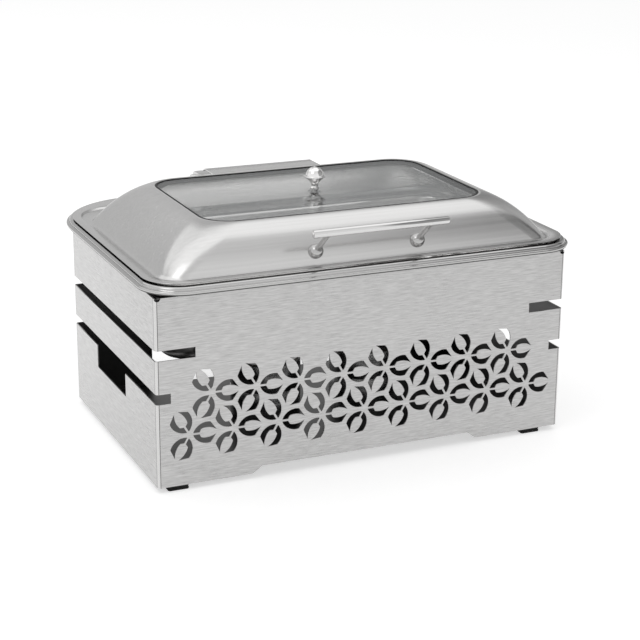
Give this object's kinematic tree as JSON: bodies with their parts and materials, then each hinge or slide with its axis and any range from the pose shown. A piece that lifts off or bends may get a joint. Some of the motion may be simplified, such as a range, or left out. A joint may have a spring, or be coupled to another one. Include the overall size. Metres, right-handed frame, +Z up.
{
  "type": "chafing dish",
  "caption": "Rectangular buffet chafing dish: windowed hinged lid over a food pan and water pan, on a folded steel stand with a pierced floral front and fuel holders.",
  "frame": {"origin": "on the surface under the feet, below the middle of the whole object's box", "axes": "+X right along the long front, +Y to the back where the hinge is, +Z up"},
  "size_m": [0.584, 0.472, 0.3472],
  "materials": {
    "stand_sheet": "brushed along the length",
    "shelf_sheet": "plain mill finish",
    "feet": "matt",
    "fixings": "plain",
    "holders": "satin",
    "cans": "plain tin",
    "snuffers": "polished",
    "pan_sheet": "bright satin",
    "rim": "polished",
    "hinge": "bright satin",
    "polished": "polished",
    "springs": "dark spring steel",
    "lid_sheet": "satin",
    "gasket": "smooth",
    "window": "clear, faintly grey",
    "handle": "bright satin"
  },
  "bodies": {
    "stand": {"front_panel": "stand_sheet", "left_side": "stand_sheet", "right_side": "stand_sheet", "rear_panel": "stand_sheet", "burner_shelf": "shelf_sheet", "shelf_rivets": "fixings", "rubber_feet": "feet", "foot_screws": "fixings"},
    "pans": {"water_pan": "pan_sheet", "pan_rim": "rim", "food_pan": "pan_sheet", "hinge_housing": "hinge", "hinge_block_left": "hinge", "hinge_block_right": "hinge", "hinge_pin": "polished", "torsion_spring_left": "springs", "torsion_spring_right": "springs", "housing_screws": "fixings"},
    "lid": {"lid_shell": "lid_sheet", "window_gasket": "gasket", "window_glass": "window", "lid_bumpers": "gasket", "knob": "polished", "knob_fixing": "fixings", "handle_bar": "handle", "handle_post_left": "handle", "handle_post_right": "handle", "handle_screws": "fixings", "hinge_arm_left": "hinge", "hinge_arm_right": "hinge", "arm_screws": "fixings", "hinge_cover": "hinge", "cover_screws": "fixings"},
    "burner_left": {"fuel_holder_left": "holders", "fuel_can_left": "cans"},
    "burner_right": {"fuel_holder_right": "holders", "fuel_can_right": "cans"},
    "snuffer_left": {"snuffer_left": "snuffers"},
    "snuffer_right": {"snuffer_right": "snuffers"}
  },
  "joints": [
    {"name": "lid_hinge", "type": "hinge", "parent": "pans", "child": "lid", "pos_m": [0, 0.21, 0.281], "axis": [-1, 0, 0], "range_deg": [0, 90]},
    {"name": "pans_lift", "type": "slide", "parent": "stand", "child": "pans", "axis": [0, 0, 1], "range_m": [0, 0.12]},
    {"name": "burner_left_slide", "type": "slide", "parent": "stand", "child": "burner_left", "axis": [0, 1, 0], "range_m": [0, 0.15]},
    {"name": "burner_right_slide", "type": "slide", "parent": "stand", "child": "burner_right", "axis": [0, 1, 0], "range_m": [0, 0.15]},
    {"name": "snuffer_left_swing", "type": "hinge", "parent": "burner_left", "child": "snuffer_left", "pos_m": [-0.072, 0.0226, 0.0979], "axis": [0, 0, -1], "range_deg": [0, 110]},
    {"name": "snuffer_right_swing", "type": "hinge", "parent": "burner_right", "child": "snuffer_right", "pos_m": [0.072, 0.0226, 0.0979], "axis": [0, 0, 1], "range_deg": [0, 110]}
  ]
}
